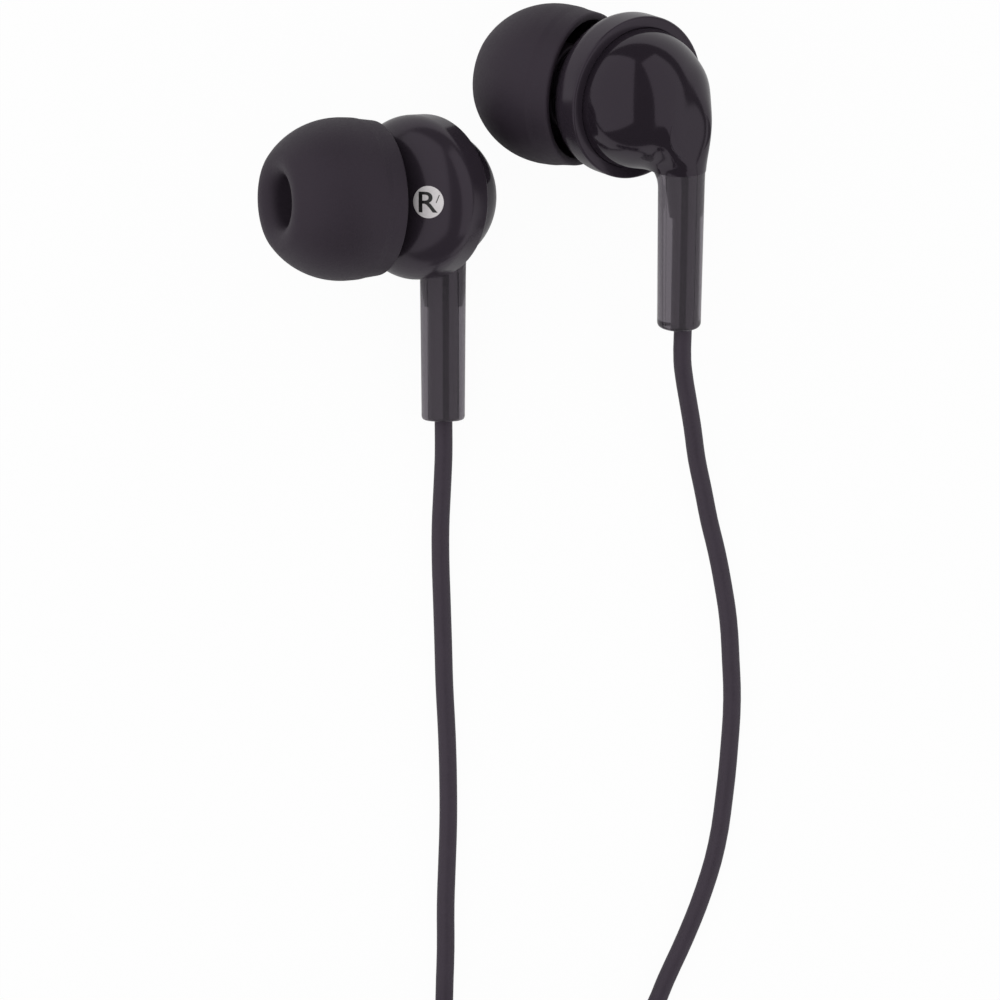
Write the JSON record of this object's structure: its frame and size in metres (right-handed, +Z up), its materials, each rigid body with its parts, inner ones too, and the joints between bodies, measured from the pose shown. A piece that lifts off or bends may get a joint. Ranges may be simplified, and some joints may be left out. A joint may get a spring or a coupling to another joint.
{
  "type": "wired earphones",
  "caption": "Wired in-ear earphones: silicone tips on canted nozzles, domed shells, clear stems, wound and tied cords, splitter and 3.5 mm plug.",
  "frame": {"origin": "middle of the box around the two earbuds, on the surface that they lie on", "axes": "+Z up from that surface, +X from the right earbud towards the left one, -Y along the cords towards the plug"},
  "size_m": [0.0424, 0.1671, 0.0174],
  "materials": {
    "silicone": "matt, slightly dusty silicone",
    "shell": "polished",
    "cover": "polished",
    "screen": "fine perforated steel",
    "driver_plastic": "moulded",
    "driver_steel": "zinc plated",
    "magnet": "nickel plated",
    "copper_wire": "enamelled copper",
    "membrane": "thin clear film",
    "board": "solder-resist green",
    "clear_stem": "clear, smoky",
    "boot": "satin",
    "cord": "satin jacket",
    "tie": "matt",
    "splitter": "satin",
    "grip": "satin",
    "contact": "gold plated",
    "insulator": "matt"
  },
  "bodies": {
    "earphones": {"right_front_housing": "shell", "right_nozzle_screen": "screen", "right_driver_frame": "driver_plastic", "right_driver_yoke": "driver_steel", "right_driver_magnet": "magnet", "right_top_plate": "driver_steel", "right_terminal_board": "board", "right_rear_cover": "cover", "right_stem_sleeve": "clear_stem", "right_cable_boot": "boot", "right_inner_lead": "cord", "right_cord": "cord", "right_coil": "cord", "right_cord_end": "cord", "right_coil_tie": "tie", "left_front_housing": "shell", "left_nozzle_screen": "screen", "left_driver_frame": "driver_plastic", "left_driver_yoke": "driver_steel", "left_driver_magnet": "magnet", "left_top_plate": "driver_steel", "left_terminal_board": "board", "left_rear_cover": "cover", "left_stem_sleeve": "clear_stem", "left_cable_boot": "boot", "left_inner_lead": "cord", "left_cord": "cord", "left_coil": "cord", "left_cord_end": "cord", "left_coil_tie": "tie", "splitter": "splitter", "main_cord_start": "cord", "main_coil": "cord", "main_cord_end": "cord", "main_coil_tie": "tie", "plug_boot": "boot", "plug_grip": "grip", "plug_sleeve": "contact", "plug_ring": "contact", "plug_tip": "contact", "plug_insulators": "insulator"},
    "right_ear_tip_body": {"right_ear_tip": "silicone"},
    "left_ear_tip_body": {"left_ear_tip": "silicone"},
    "right_driver_cone": {"right_diaphragm": "membrane", "right_voice_coil": "copper_wire"},
    "left_driver_cone": {"left_diaphragm": "membrane", "left_voice_coil": "copper_wire"}
  },
  "joints": [
    {"name": "right_ear_tip_slide", "type": "slide", "parent": "earphones", "child": "right_ear_tip_body", "axis": [-0.8829, -0.0653, 0.4649], "range_m": [0, 0.006]},
    {"name": "left_ear_tip_slide", "type": "slide", "parent": "earphones", "child": "left_ear_tip_body", "axis": [-0.8387, 0.1952, -0.5085], "range_m": [0, 0.006]},
    {"name": "right_diaphragm_travel", "type": "slide", "parent": "earphones", "child": "right_driver_cone", "axis": [-0.6691, -0.1034, 0.7359], "range_m": [-0.00015, 0.00015], "stiffness_N_per_m": 40},
    {"name": "left_diaphragm_travel", "type": "slide", "parent": "earphones", "child": "left_driver_cone", "axis": [-0.6018, 0.2862, -0.7456], "range_m": [-0.00015, 0.00015], "stiffness_N_per_m": 40}
  ]
}
